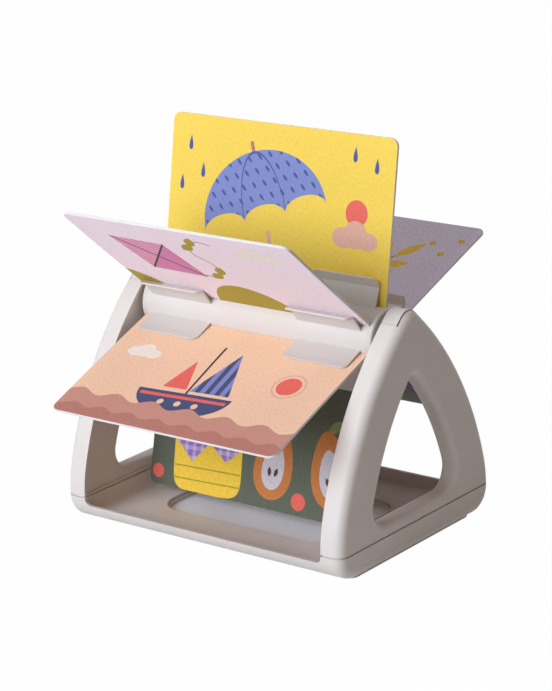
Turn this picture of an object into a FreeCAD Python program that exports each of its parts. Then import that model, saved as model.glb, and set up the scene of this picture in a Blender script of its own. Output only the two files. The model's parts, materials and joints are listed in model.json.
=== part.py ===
"""Tummy time book: a tray base, two arched side panels and a turning drum that holds six cards.

Millimetres. +Z is up, the drum turns about an axis along X, and the front of the base faces -Y.
The origin is on the ground, under the middle of the base. Card 1 stands up, and the numbers of
the cards and drum segments grow as they go over the front.
"""
import FreeCAD
import Part
import math
import os

V = FreeCAD.Vector
X_AXIS = V(1, 0, 0)
Y_AXIS = V(0, 1, 0)
Z_AXIS = V(0, 0, 1)
ORIGIN = V(0, 0, 0)
FAR = 400.0                  # longer than the whole object, for cutting tools
CUT_OVER = 1.0               # cutting tools run this far past what they cut
CLOSE = 0.01                 # lengths this near count as equal
PARALLEL = 0.99              # directions whose dot product is over this count as one

# ---- Whole object
OVERALL_WIDTH = 238.0        # over the outer faces of the side panels
BASE_DEPTH = 175.0           # front to back, at the seam between base and panels
PANEL_TOP = 166.0            # height of the arches
SEAM_Z = 19.7                # top of the base, where the panels stand on it
WALL = 2.5                   # moulded wall
EDGE_R = 7.0                 # soft edge around each outer side
FIT = 0.15                   # gap between mouldings that fit together
HAIR = 0.05                  # gap between faces that all but touch

# ---- Side panels
PANEL_T = 17.0
LOWER_ARC_R = 85.0           # the outline just above the seam
SIDE_ARC_R = 240.0           # the long side of the arch
APEX_R = 12.0
WINDOW_BAND = 34.0           # panel left between the outline and the window
WINDOW_SILL = 8.3            # from the seam up to the window
WINDOW_CORNER_R = 14.0
WINDOW_APEX_R = 5.0
WINDOW_EDGE_R = 5.0          # rounding from the faces into the window
LINER_SETBACK = 1.5          # the liner's face lies this far inside the shell's rim
SEAM_GROOVE_H = 1.3          # shadow groove around the panel, just above the seam
SEAM_GROOVE_DEPTH = 1.4
LEDGE_R = 0.9                # rounding of the rim along the foot of the liner
PEG_R = 2.4                  # pegs that hold the liner in the shell
PEG_WALL = 2.0
LOW_PEG_RISE = 42.3          # from the seam up to the lower pegs
TOP_PEG_DROP = 40.0          # from the top of the arch down to the upper pegs

# ---- Base
COVER_T = 1.5                # plate that closes the base from below
COVER_INSET = 5.0            # from the outer side to the edge of the cover
COVER_CORNER_R = 6.0
COVER_SEAT = 5.0             # rim of the tray that the cover lies against, front and back
FLOOR_Z = 7.0
LIP_Z = 14.3                 # top of the low front and back walls
LIP_CORNER_R = 5.0
TROUGH_END_R = 4.0
RECESS_END_MARGIN = 29.0     # floor left between a side panel and the recess
RECESS_SIDE_MARGIN = 41.0    # from the front of the base to the recess
RECESS_R = 20.0
RECESS_STEP = 1.5            # ledge part of the way down
RECESS_STEP_DROP = 1.8
INLAY_T = 1.4
INLAY_MARGIN = 3.0           # hidden edge of the inlay under the tray

# ---- Drum
AXIS_DROP = 22.2             # from the top of the arch down to the drum axis
CARD_TILT = -9.8             # card 1 leans back at rest
CARD_COUNT = 6
STEP_ANGLE = 360.0 / CARD_COUNT
DRUM_R = 20.5
DRUM_WALL = 2.3
DRUM_END_GAP = 3.5           # between an end cap and the side panel
END_CAP_T = 3.0
END_CAP_EDGE_R = 1.8
CORE_GAP = 0.75              # between the core and the screw bosses
SPIGOT_LENGTH = 10.0
RIB_T = 1.6
SLOT_CLEARANCE = 0.15        # each side of a card
COLLAR_RIM = 2.5             # collar's width around the journal
COLLAR_GAP = 0.4             # end play between collar and bearing cap
JOURNAL_R = 7.0
JOURNAL_CLEARANCE = 0.06
JOURNAL_END_GAP = 0.5        # between the journal's tip and the end of its bearing
JOURNAL_CHAMFER = 0.8

# ---- Bearing caps
CAP_CHEEK = 5.5              # cap on each side of the journal
CAP_BACKING = 2.5            # from the end of the cap to the outer wall
CAP_GAP = 0.3                # beside the cap, along the rim
CAP_END_GAP = 1.0            # shadow gap between the cap and the panel's face
LEG_T = 2.4
LEG_REACH = 1.0              # the legs reach this far below the journal
LEG_SIDE_WALL = 1.5          # saddle left on each side of a leg
SADDLE_FLOOR = 4.0           # saddle left below the legs

# ---- Clips on the drum
CLIP_WIDTH = 52.5
CLIP_INSET = 5.5             # from the side of the card
CLIP_T = 1.2
CLIP_BEND_HEIGHT = 12.7      # above the drum, where a clip touches the card
CLIP_TIP_HEIGHT = 18.8
FLARED_FOOT_GAP = 4.6        # from the card to the outside of the foot of a clip in front of a card
FLARED_TIP_GAP = 5.5         # and to the outside of its tip
FLAT_FOOT_GAP = 2.2          # the same for a clip behind a card
FLAT_TIP_GAP = 1.5
CLIP_TOUCH = 0.08            # gap left between clip and card
CLIP_CORNER_R = 4.0

# ---- Cards
CARD_T = 2.0
CARD_END_PLAY = 0.5          # between a card and the end caps
CARD_FLOOR_GAP = 4.8         # between a card's far edge and the floor it swings over
CARD_CORE_GAP = 0.5
CARD_CORNER_R = 6.0

# ---- Screws
SCREW_R = 1.5
SCREW_HEAD_R = 2.75
SCREW_HEAD_T = 2.0
SCREW_PLAY = 0.02
SMALL_SCREW_R = 1.25
SMALL_HEAD_R = 2.2
SMALL_HEAD_T = 1.5
BOSS_WALL = 2.0
SMALL_BOSS_WALL = 1.6
HEAD_EDGE_R = 0.5
CROSS_DEPTH = 0.8            # cross in a screw head
CROSS_WIDTH = 0.7
CROSS_REACH = 1.4            # from the middle of the head
TIP_ROOM = 1.0               # hole left past the tip of a screw
COVER_SCREW_INSET = 4.5      # behind the inner face of the side panel
COVER_SCREW_FROM_FRONT = 37.5
COVER_SCREW_LENGTH = 9.0
WELL_PLAY = 0.35             # around the head of a cover screw
WELL_WALL = 1.1
WELL_DEPTH = 2.4
PANEL_SCREW_LENGTH = 14.0
DRUM_SCREW_LENGTH = 9.0
BOSS_SINK = 0.25             # the drum's bosses run this far into its wall

# ---- Sizes and places that follow from those above
HALF_WIDTH = OVERALL_WIDTH / 2
HALF_DEPTH = BASE_DEPTH / 2
PANEL_INNER_X = HALF_WIDTH - PANEL_T
SHELL_INNER_X = HALF_WIDTH - WALL
BASE_CORNER_R = SEAM_Z - COVER_T
LINER_X = PANEL_INNER_X + LINER_SETBACK
LINER_BACK_X = LINER_X + WALL
SPLIT_X = SHELL_INNER_X - WINDOW_EDGE_R
AXIS_Z = PANEL_TOP - AXIS_DROP
RECESS_X = PANEL_INNER_X - RECESS_END_MARGIN
RECESS_Y = HALF_DEPTH - RECESS_SIDE_MARGIN

BORE_R = JOURNAL_R + JOURNAL_CLEARANCE
COLLAR_R = JOURNAL_R + COLLAR_RIM
CAP_HALF = JOURNAL_R + CAP_CHEEK
CAP_END_X = SHELL_INNER_X - CAP_BACKING
JOURNAL_END_X = CAP_END_X - JOURNAL_END_GAP
LEG_LENGTH = JOURNAL_R + LEG_REACH
LEG_WIDTH = CAP_END_X - LINER_BACK_X - 2 * LEG_SIDE_WALL
SADDLE_DEPTH = LEG_LENGTH + SADDLE_FLOOR

DRUM_HALF = PANEL_INNER_X - DRUM_END_GAP
CAP_INNER_X = DRUM_HALF - END_CAP_T
SEGMENT_HALF = CAP_INNER_X - HAIR
SMALL_BOSS_R = SMALL_SCREW_R + SMALL_BOSS_WALL
DRUM_SCREW_RADIUS = DRUM_R - DRUM_WALL - SMALL_BOSS_R + BOSS_SINK
DRUM_BOSS_LENGTH = DRUM_SCREW_LENGTH + TIP_ROOM + BOSS_WALL
CORE_R = DRUM_SCREW_RADIUS - SMALL_BOSS_R - CORE_GAP

CARD_HALF = CAP_INNER_X - CARD_END_PLAY
CARD_INNER_R = CORE_R + CARD_CORE_GAP
CARD_OUTER_R = AXIS_Z - FLOOR_Z - CARD_FLOOR_GAP
SLOT_HALF = CARD_T / 2 + SLOT_CLEARANCE
CLIP_OUTER_X = CARD_HALF - CLIP_INSET
CLIP_INNER_X = CLIP_OUTER_X - CLIP_WIDTH
CLIP_BEND_R = DRUM_R + CLIP_BEND_HEIGHT
CLIP_TIP_R = DRUM_R + CLIP_TIP_HEIGHT

WELL_R = SCREW_HEAD_R + WELL_PLAY
COVER_SCREW_X = PANEL_INNER_X + COVER_SCREW_INSET
COVER_SCREW_Y = HALF_DEPTH - COVER_SCREW_FROM_FRONT
TRAY_HALF_OPENING_X = COVER_SCREW_X + WELL_R + WELL_WALL + FIT
TRAY_HALF_OPENING_Y = HALF_DEPTH - BASE_CORNER_R - COVER_SEAT
PANEL_SCREW_X = (LINER_BACK_X + SHELL_INNER_X) / 2
PANEL_SCREW_Y = HALF_DEPTH - WINDOW_BAND / 2
PANEL_BOSS_H = PANEL_SCREW_LENGTH - WALL + TIP_ROOM + BOSS_WALL


# ---- Helpers -------------------------------------------------------------------------------
def box(x0, x1, y0, y1, z0, z1):
    """Box between two corners."""
    return Part.makeBox(x1 - x0, y1 - y0, z1 - z0, V(x0, y0, z0))


def rod_x(radius, x0, x1, y=0.0, z=0.0):
    """Round bar along X."""
    return Part.makeCylinder(radius, x1 - x0, V(x0, y, z), X_AXIS)


def rod_z(radius, x, y, z0, z1):
    """Upright round bar."""
    return Part.makeCylinder(radius, z1 - z0, V(x, y, z0))


def prism_x(wire, x0, x1):
    """Solid between two X positions from a closed wire drawn at X = 0."""
    face = Part.Face(wire)
    face.translate(V(x0, 0, 0))
    return face.extrude(V(x1 - x0, 0, 0))


def joined(first, *others):
    """One solid from several that meet."""
    return first.multiFuse(list(others)).removeSplitter()


def mirrored(shape):
    """The same shape on the other side of the middle plane X = 0."""
    return shape.mirror(ORIGIN, X_AXIS)


def swapped(shape):
    """The same shape on the other side of the middle plane Y = 0."""
    return shape.mirror(ORIGIN, Y_AXIS)


def both_ends(shape):
    """A shape and its mirror image, as a list."""
    return [shape, mirrored(shape)]


def ends_at_x(edge, x):
    """Whether an edge lies in the plane at x."""
    return all(abs(vertex.X - x) < CLOSE for vertex in edge.Vertexes)


def is_level(edge, z):
    """Whether an edge lies in the level plane at z."""
    return all(abs(vertex.Z - z) < CLOSE for vertex in edge.Vertexes)


def runs_along(edge, axis):
    """Whether an edge starts off along an axis."""
    return abs(edge.tangentAt(edge.FirstParameter).dot(axis)) > PARALLEL


def rounded_plate(half_x, half_y, corner_r, z0, z1):
    """Level plate with rounded corners, centred on the origin."""
    plate = box(-half_x, half_x, -half_y, half_y, z0, z1)
    return plate.makeFillet(corner_r, [e for e in plate.Edges if runs_along(e, Z_AXIS)])


def turned(shape, angle):
    """A shape made about the X axis, turned to its place on the drum."""
    copy = shape.copy()
    copy.rotate(ORIGIN, X_AXIS, angle)
    copy.translate(V(0, 0, AXIS_Z))
    return copy


# ---- Outlines ------------------------------------------------------------------------------
def arc_yz(centre, radius, start, end):
    """Arc at X = 0 about (y, z), between two angles in radians from +Y."""
    points = []
    for angle in (start, (start + end) / 2, end):
        points.append(V(0, centre[0] + radius * math.cos(angle), centre[1] + radius * math.sin(angle)))
    return Part.Arc(*points).toShape()


def side_arc_centre(lower, apex):
    """Centre of the long side arc, which touches the lower arc and the apex arc from inside."""
    to_lower = SIDE_ARC_R - LOWER_ARC_R
    to_apex = SIDE_ARC_R - APEX_R
    dy, dz = apex[0] - lower[0], apex[1] - lower[1]
    apart = math.hypot(dy, dz)
    along = (to_lower ** 2 - to_apex ** 2 + apart ** 2) / (2 * apart)
    across = math.sqrt(to_lower ** 2 - along ** 2)
    return (lower[0] + (along * dy - across * dz) / apart, lower[1] + (along * dz + across * dy) / apart)


def arch_wire(foot_z):
    """Closed outline of an arch that stands at foot_z, with upright sides up to the seam."""
    lower = (HALF_DEPTH - LOWER_ARC_R, SEAM_Z)
    apex = (0.0, PANEL_TOP - APEX_R)
    side = side_arc_centre(lower, apex)
    knee = math.atan2(lower[1] - side[1], lower[0] - side[0])
    shoulder = math.atan2(apex[1] - side[1], apex[0] - side[0])
    half = [arc_yz(lower, LOWER_ARC_R, 0.0, knee), arc_yz(side, SIDE_ARC_R, knee, shoulder)]
    if foot_z < SEAM_Z:
        half.insert(0, Part.makeLine(V(0, HALF_DEPTH, foot_z), V(0, HALF_DEPTH, SEAM_Z)))
    other = [swapped(edge) for edge in half]
    top = arc_yz(apex, APEX_R, shoulder, math.pi - shoulder)
    bottom = Part.makeLine(V(0, -HALF_DEPTH, foot_z), V(0, HALF_DEPTH, foot_z))
    return Part.Wire(Part.__sortEdges__(half + [top, bottom] + other))


def window_prism(grow, x0, x1):
    """Solid that fills the window, or one that is larger all round by grow."""
    band = WINDOW_BAND - grow
    sill = SEAM_Z + WINDOW_SILL - grow
    block = prism_x(arch_wire(sill - band).makeOffset2D(-band), x0, x1)
    lengthwise = [e for e in block.Edges if runs_along(e, X_AXIS)]
    peak = max(e.CenterOfMass.z for e in lengthwise)
    block = block.makeFillet(WINDOW_CORNER_R + grow, [e for e in lengthwise if is_level(e, sill)])
    return block.makeFillet(WINDOW_APEX_R + grow, [e for e in block.Edges if runs_along(e, X_AXIS)
                                                   and is_level(e, peak)])


def base_block(inset, half_x):
    """The base as a solid, drawn in by inset all round, with its front and back curved under."""
    reach = HALF_DEPTH - BASE_CORNER_R
    radius = BASE_CORNER_R - inset
    low = SEAM_Z - radius
    edges = [arc_yz((reach, SEAM_Z), radius, -math.pi / 2, 0.0),
             Part.makeLine(V(0, reach + radius, SEAM_Z), V(0, -reach - radius, SEAM_Z)),
             arc_yz((-reach, SEAM_Z), radius, math.pi, 1.5 * math.pi),
             Part.makeLine(V(0, -reach, low), V(0, reach, low))]
    return prism_x(Part.Wire(Part.__sortEdges__(edges)), -half_x, half_x)


def soft_ended(block, x, radius, flat_z):
    """Round the edges of the faces at +x and -x, apart from those in the level plane at flat_z."""
    edges = [e for e in block.Edges for side in (-x, x) if ends_at_x(e, side) and not is_level(e, flat_z)]
    return block.makeFillet(radius, edges)


# ---- Screws --------------------------------------------------------------------------------
def screw(radius, head_r, head_t, length):
    """Cross-head screw whose shank points up from the origin and whose head hangs below it."""
    head = rod_z(head_r, 0, 0, -head_t, 0)
    head = head.makeFillet(HEAD_EDGE_R, [e for e in head.Edges if is_level(e, -head_t)])
    half = CROSS_WIDTH / 2
    low, top = -head_t - CUT_OVER, CROSS_DEPTH - head_t
    cross = joined(box(-CROSS_REACH, CROSS_REACH, -half, half, low, top),
                   box(-half, half, -CROSS_REACH, CROSS_REACH, low, top))
    return joined(head, rod_z(radius, 0, 0, 0, length)).cut(cross)


def cover_screw_places():
    """(x, y) of the screws that hold the cover."""
    return [(side * COVER_SCREW_X, y) for side in (-1, 1) for y in (-COVER_SCREW_Y, 0, COVER_SCREW_Y)]


def panel_screw_places():
    """(x, y) of the screws that hold the side panels on the base."""
    return [(side * PANEL_SCREW_X, y) for side in (-1, 1) for y in (-PANEL_SCREW_Y, PANEL_SCREW_Y)]


def segment_angles():
    """Angle of the middle of each drum segment."""
    return [CARD_TILT + STEP_ANGLE * (index + 0.5) for index in range(CARD_COUNT)]


def cover_screws():
    """Six screws up through the cover into the tray."""
    one = screw(SCREW_R, SCREW_HEAD_R, SCREW_HEAD_T, COVER_SCREW_LENGTH)
    return [one.translated(V(x, y, WELL_DEPTH)) for x, y in cover_screw_places()]


def panel_screws():
    """Four screws up through the base into the side panels."""
    one = screw(SCREW_R, SCREW_HEAD_R, SCREW_HEAD_T, PANEL_SCREW_LENGTH)
    return [one.translated(V(x, y, SEAM_Z - WALL)) for x, y in panel_screw_places()]


def drum_screws():
    """Twelve screws that hold the drum segments between the end caps."""
    one = screw(SMALL_SCREW_R, SMALL_HEAD_R, SMALL_HEAD_T, DRUM_SCREW_LENGTH)
    one.rotate(ORIGIN, Y_AXIS, -90)
    one.translate(V(DRUM_HALF - SMALL_HEAD_T, 0, DRUM_SCREW_RADIUS))
    return [turned(end, angle) for angle in segment_angles() for end in both_ends(one)]


# ---- Base ----------------------------------------------------------------------------------
def base_tray():
    """Tray with low front and back lips, hollow end blocks and a stepped recess in its floor."""
    outer = soft_ended(base_block(0, HALF_WIDTH), HALF_WIDTH, EDGE_R, SEAM_Z)
    hollow = soft_ended(base_block(WALL, SHELL_INNER_X), SHELL_INNER_X, EDGE_R - WALL, SEAM_Z)
    hollow = hollow.cut(box(-FAR, FAR, -FAR, FAR, SEAM_Z - WALL, FAR))
    trough_x = PANEL_INNER_X + WALL
    hollow = hollow.cut(box(-trough_x, trough_x, -FAR, FAR, FLOOR_Z - WALL, FAR))
    opening = box(-TRAY_HALF_OPENING_X, TRAY_HALF_OPENING_X, -TRAY_HALF_OPENING_Y, TRAY_HALF_OPENING_Y,
                  0, FLOOR_Z - WALL)
    trough = base_block(WALL, PANEL_INNER_X).cut(box(-FAR, FAR, -FAR, FAR, -FAR, FLOOR_Z))
    foot_edges = [e for e in trough.Edges for side in (-PANEL_INNER_X, PANEL_INNER_X)
                  if ends_at_x(e, side) and is_level(e, FLOOR_Z)]
    trough = trough.makeFillet(TROUGH_END_R, foot_edges)
    over_lip = box(-PANEL_INNER_X, PANEL_INNER_X, -FAR, FAR, LIP_Z, FAR)
    over_lip = over_lip.makeFillet(LIP_CORNER_R, [e for e in over_lip.Edges if is_level(e, LIP_Z)
                                                  and runs_along(e, Y_AXIS)])
    tray = outer.cut(hollow).cut(opening).cut(trough).cut(over_lip)

    pocket_z = COVER_T + INLAY_T + HAIR
    lower_x, lower_y = RECESS_X - RECESS_STEP, RECESS_Y - RECESS_STEP
    lower_r = RECESS_R - RECESS_STEP
    pocket_wall = rounded_plate(lower_x + WALL, lower_y + WALL, lower_r + WALL, pocket_z, FLOOR_Z - WALL / 2)
    bosses = [rod_z(SCREW_R + BOSS_WALL, x, y, WELL_DEPTH + WELL_WALL + HAIR, SEAM_Z - WALL / 2)
              for x, y in cover_screw_places()]
    tray = joined(tray, pocket_wall, *bosses)
    top = FLOOR_Z + CUT_OVER
    tray = tray.cut(rounded_plate(lower_x, lower_y, lower_r, 0, top))
    tray = tray.cut(rounded_plate(RECESS_X, RECESS_Y, RECESS_R, FLOOR_Z - RECESS_STEP_DROP, top))
    for x, y in cover_screw_places():
        tray = tray.cut(rod_z(SCREW_R + SCREW_PLAY, x, y, 0, WELL_DEPTH + COVER_SCREW_LENGTH + TIP_ROOM))
    for x, y in panel_screw_places():
        tray = tray.cut(rod_z(SCREW_R + SCREW_PLAY, x, y, SEAM_Z - WALL - CUT_OVER, SEAM_Z + CUT_OVER))
    return tray


def base_cover():
    """Plate under the base, with a well for each of its screws."""
    plate = rounded_plate(HALF_WIDTH - COVER_INSET, HALF_DEPTH - BASE_CORNER_R, COVER_CORNER_R, 0, COVER_T)
    wells = [rod_z(WELL_R + WELL_WALL, x, y, 0, WELL_DEPTH + WELL_WALL) for x, y in cover_screw_places()]
    cover = joined(plate, *wells)
    for x, y in cover_screw_places():
        cover = cover.cut(rod_z(WELL_R, x, y, -CUT_OVER, WELL_DEPTH))
        cover = cover.cut(rod_z(SCREW_R + SCREW_PLAY, x, y, 0, FAR))
    return cover


def recess_inlay():
    """Grey sheet that makes the floor of the recess, held between the tray and the cover."""
    margin = INLAY_MARGIN - RECESS_STEP
    return rounded_plate(RECESS_X + margin, RECESS_Y + margin, RECESS_R + margin, COVER_T, COVER_T + INLAY_T)


# ---- Side panels, made for the +X side -----------------------------------------------------
def peg_places():
    """(y, z) of the pegs that hold a liner, in the middle of the panel's band."""
    middle_line = arch_wire(SEAM_Z).makeOffset2D(-WINDOW_BAND / 2)
    places = []
    for z in (SEAM_Z + LOW_PEG_RISE, PANEL_TOP - TOP_PEG_DROP):
        touching = middle_line.distToShape(Part.makeLine(V(0, 0, z), V(0, FAR, z)))[1]
        places += [(side * touching[0][0].y, z) for side in (-1, 1)]
    return places


def bearing_notch(end_x):
    """Space above the drum axis that the bearing cap fills, as far out as end_x."""
    return box(0, end_x, -CAP_HALF - CAP_GAP, CAP_HALF + CAP_GAP, AXIS_Z, FAR)


def seam_groove():
    """Space around both panels at the seam, outside and inside."""
    inner = rounded_plate(HALF_WIDTH - SEAM_GROOVE_DEPTH, HALF_DEPTH - SEAM_GROOVE_DEPTH,
                          EDGE_R - SEAM_GROOVE_DEPTH, SEAM_Z, SEAM_Z + SEAM_GROOVE_H)
    ring = box(-FAR, FAR, -FAR, FAR, SEAM_Z - CUT_OVER, SEAM_Z + SEAM_GROOVE_H).cut(inner)
    return joined(ring, box(0, PANEL_INNER_X + SEAM_GROOVE_DEPTH, -FAR, FAR,
                            SEAM_Z - CUT_OVER, SEAM_Z + SEAM_GROOVE_H))


def cap_leg(gap):
    """Snap leg of a bearing cap, on the +Y side, or the pocket for it."""
    middle_x = (LINER_BACK_X + CAP_END_X) / 2
    outer_y = CAP_HALF - FIT
    return box(middle_x - LEG_WIDTH / 2 - gap, middle_x + LEG_WIDTH / 2 + gap,
               outer_y - LEG_T - gap, outer_y + gap, AXIS_Z - LEG_LENGTH - gap, AXIS_Z + LEG_T)


def saddle_block(gap):
    """Block of the shell that carries the bearing, behind the liner, or the room for it."""
    cheek = CAP_HALF + WALL + gap
    return box(LINER_BACK_X + FIT - gap, SHELL_INNER_X + HAIR, -cheek, cheek,
               AXIS_Z - SADDLE_DEPTH - gap, FAR)


def side_shell():
    """Outer shell of a side panel: face, rim, window collar and the lower half of the bearing."""
    outer = prism_x(arch_wire(SEAM_Z), PANEL_INNER_X, HALF_WIDTH)
    outer = outer.makeFillet(EDGE_R, [e for e in outer.Edges if ends_at_x(e, HALF_WIDTH)
                                      and not is_level(e, SEAM_Z)])
    cavity = prism_x(arch_wire(SEAM_Z).makeOffset2D(-WALL), PANEL_INNER_X - CUT_OVER, SHELL_INNER_X)
    cavity = cavity.makeFillet(EDGE_R - WALL, [e for e in cavity.Edges if ends_at_x(e, SHELL_INNER_X)
                                               and not is_level(e, SEAM_Z + WALL)])
    inside = [saddle_block(0).common(outer), window_prism(WALL, SPLIT_X, SHELL_INNER_X + HAIR),
              window_prism(WALL + WINDOW_EDGE_R, SPLIT_X, SHELL_INNER_X + HAIR)]
    for y, z in peg_places():
        inside.append(rod_x(PEG_R + PEG_WALL, SPLIT_X, SHELL_INNER_X + HAIR, y, z))
    for side in (-1, 1):
        inside.append(rod_z(SCREW_R + BOSS_WALL, PANEL_SCREW_X, side * PANEL_SCREW_Y, SEAM_Z,
                            SEAM_Z + PANEL_BOSS_H))
    rim = outer.cut(cavity)
    ledge = [e for e in rim.Edges if ends_at_x(e, PANEL_INNER_X) and is_level(e, SEAM_Z + WALL)]
    shell = joined(rim.makeFillet(LEDGE_R, ledge), *inside)
    shell = shell.cut(window_prism(0, PANEL_INNER_X - CUT_OVER, HALF_WIDTH + CUT_OVER))
    mouth = [e for e in shell.Edges if ends_at_x(e, HALF_WIDTH) and on_window(e)]
    shell = shell.makeFillet(WINDOW_EDGE_R, mouth)
    shell = shell.cut(seam_groove()).cut(bearing_notch(CAP_END_X + CAP_END_GAP))
    shell = shell.cut(rod_x(BORE_R, 0, CAP_END_X + CAP_END_GAP, 0, AXIS_Z))
    pocket = cap_leg(FIT)
    shell = shell.cut(pocket).cut(swapped(pocket))
    for y, z in peg_places():
        shell = shell.cut(rod_x(PEG_R + HAIR, 0, SHELL_INNER_X - PEG_WALL / 2, y, z))
    for side in (-1, 1):
        shell = shell.cut(rod_z(SCREW_R + SCREW_PLAY, PANEL_SCREW_X, side * PANEL_SCREW_Y, 0,
                                SEAM_Z - WALL + PANEL_SCREW_LENGTH + TIP_ROOM))
    return shell


def on_window(edge):
    """Whether an edge runs along the mouth of the window."""
    inside = window_prism(HAIR, -1, 1)
    middle = edge.valueAt((edge.FirstParameter + edge.LastParameter) / 2)
    return inside.isInside(V(0, middle.y, middle.z), CLOSE, True)


def side_liner():
    """Inner half of a side panel: a plate in the shell's rim, with its half of the window collar."""
    outline = arch_wire(SEAM_Z).makeOffset2D(-WALL - FIT)
    plate = prism_x(outline, LINER_X, LINER_BACK_X)
    room = prism_x(outline, LINER_X, HALF_WIDTH)
    room = room.cut(saddle_block(FIT))
    collars = [window_prism(WALL, LINER_X, SPLIT_X - HAIR).common(room),
               window_prism(WALL + WINDOW_EDGE_R, LINER_X, LINER_X + WINDOW_EDGE_R).common(room)]
    pegs = [rod_x(PEG_R, LINER_X, SHELL_INNER_X - PEG_WALL, y, z) for y, z in peg_places()]
    liner = joined(plate, *collars, *pegs)
    liner = liner.cut(window_prism(0, LINER_X - CUT_OVER, SPLIT_X + CUT_OVER))
    mouth = [e for e in liner.Edges if ends_at_x(e, LINER_X) and on_window(e)]
    liner = liner.makeFillet(WINDOW_EDGE_R, mouth)
    liner = liner.cut(bearing_notch(HALF_WIDTH))
    return liner.cut(rod_x(BORE_R + FIT, 0, HALF_WIDTH, 0, AXIS_Z))


def bearing_cap():
    """Cap over the drum's journal, with two snap legs. Its top carries on the rim of the panel."""
    cap = prism_x(arch_wire(SEAM_Z), PANEL_INNER_X, CAP_END_X)
    cap = cap.common(box(0, HALF_WIDTH, -CAP_HALF, CAP_HALF, AXIS_Z + HAIR, FAR))
    cap = cap.cut(rod_x(BORE_R, 0, HALF_WIDTH, 0, AXIS_Z))
    leg = cap_leg(0)
    return joined(cap, leg, swapped(leg))


# ---- Drum, made about the X axis -----------------------------------------------------------
def strip_wire(points, thickness):
    """Closed wire of even thickness along a path of (y, z) points, thickened on its +Y side."""
    shifted = []
    for index, (y, z) in enumerate(points):
        before = points[max(index - 1, 0)]
        after = points[min(index + 1, len(points) - 1)]
        normals = []
        for start, end in ((before, (y, z)), ((y, z), after)):
            length = math.hypot(end[0] - start[0], end[1] - start[1])
            if length > 0:
                normals.append(((end[1] - start[1]) / length, (start[0] - end[0]) / length))
        mean = [sum(n[i] for n in normals) / len(normals) for i in (0, 1)]
        scale = thickness / (mean[0] ** 2 + mean[1] ** 2)
        shifted.append((y + mean[0] * scale, z + mean[1] * scale))
    loop = [V(0, y, z) for y, z in points + shifted[::-1]]
    return Part.makePolygon(loop + loop[:1])


def clip_jaw(foot_gap, tip_gap):
    """One jaw on the +Y side of an upright card: it leans in to touch the card, then turns away."""
    foot_y = CARD_T / 2 + foot_gap
    foot_z = math.sqrt((DRUM_R - DRUM_WALL / 2) ** 2 - foot_y ** 2)
    path = [(foot_y - CLIP_T, foot_z), (CARD_T / 2 + CLIP_TOUCH, CLIP_BEND_R),
            (CARD_T / 2 + tip_gap - CLIP_T, CLIP_TIP_R)]
    jaw = prism_x(strip_wire(path, CLIP_T), CLIP_INNER_X, CLIP_OUTER_X)
    shape = box(CLIP_INNER_X, CLIP_OUTER_X, 0, FAR, 0, CLIP_TIP_R)
    corners = [e for e in shape.Edges if is_level(e, CLIP_TIP_R) and runs_along(e, Y_AXIS)]
    return jaw.common(shape.makeFillet(CLIP_CORNER_R, corners))


def at_both_slots(behind, before):
    """Two shapes drawn on the +Y side of an upright card, placed behind one slot and before the next."""
    placed = [behind.copy(), swapped(before)]
    for copy, side in zip(placed, (1, -1)):
        copy.rotate(ORIGIN, X_AXIS, side * STEP_ANGLE / 2)
    return placed


def drum_segment():
    """One sixth of the drum, from card slot to card slot, with four clip jaws and two slot ribs."""
    segment = rod_x(DRUM_R, -SEGMENT_HALF, SEGMENT_HALF).cut(rod_x(DRUM_R - DRUM_WALL, -FAR, FAR))
    beside_slot = box(-FAR, FAR, SLOT_HALF, FAR, -FAR, FAR)
    for half in at_both_slots(beside_slot, beside_slot):
        segment = segment.common(half)
    fittings = both_ends(rod_x(SMALL_BOSS_R, SEGMENT_HALF - DRUM_BOSS_LENGTH, SEGMENT_HALF,
                               0, DRUM_SCREW_RADIUS))
    rib = box(-SEGMENT_HALF, SEGMENT_HALF, SLOT_HALF, SLOT_HALF + RIB_T, CORE_R + HAIR,
              DRUM_R - DRUM_WALL / 2)
    fittings += at_both_slots(rib, rib)
    flat, flared = clip_jaw(FLAT_FOOT_GAP, FLAT_TIP_GAP), clip_jaw(FLARED_FOOT_GAP, FLARED_TIP_GAP)
    for behind, before in zip(both_ends(flat), both_ends(flared)):
        fittings += at_both_slots(behind, before)
    hole = rod_x(SMALL_SCREW_R + SCREW_PLAY, DRUM_HALF - SMALL_HEAD_T - DRUM_SCREW_LENGTH - TIP_ROOM, FAR,
                 0, DRUM_SCREW_RADIUS)
    return joined(segment, *fittings).cut(hole).cut(mirrored(hole))


def drum_core():
    """Tube inside the drum that the segments stand on."""
    return rod_x(CORE_R, -SEGMENT_HALF, SEGMENT_HALF).cut(rod_x(CORE_R - WALL, -FAR, FAR))


def drum_end_cap():
    """End disc of the drum on the +X side, with its spigot, thrust collar and journal."""
    disc = rod_x(DRUM_R, CAP_INNER_X, DRUM_HALF)
    disc = disc.makeFillet(END_CAP_EDGE_R, [e for e in disc.Edges if ends_at_x(e, DRUM_HALF)])
    journal = rod_x(JOURNAL_R, DRUM_HALF, JOURNAL_END_X)
    journal = journal.makeChamfer(JOURNAL_CHAMFER, [e for e in journal.Edges if ends_at_x(e, JOURNAL_END_X)])
    collar = rod_x(COLLAR_R, DRUM_HALF, PANEL_INNER_X - COLLAR_GAP)
    spigot = rod_x(CORE_R - WALL - HAIR, CAP_INNER_X - SPIGOT_LENGTH, CAP_INNER_X)
    cap = joined(disc, journal, collar, spigot)
    for index in range(CARD_COUNT):
        hole = joined(rod_x(SMALL_SCREW_R + SCREW_PLAY, 0, FAR, 0, DRUM_SCREW_RADIUS),
                      rod_x(SMALL_HEAD_R + SCREW_PLAY, DRUM_HALF - SMALL_HEAD_T, FAR, 0, DRUM_SCREW_RADIUS))
        hole.rotate(ORIGIN, X_AXIS, STEP_ANGLE * (index + 0.5))
        cap = cap.cut(hole)
    return cap


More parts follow.
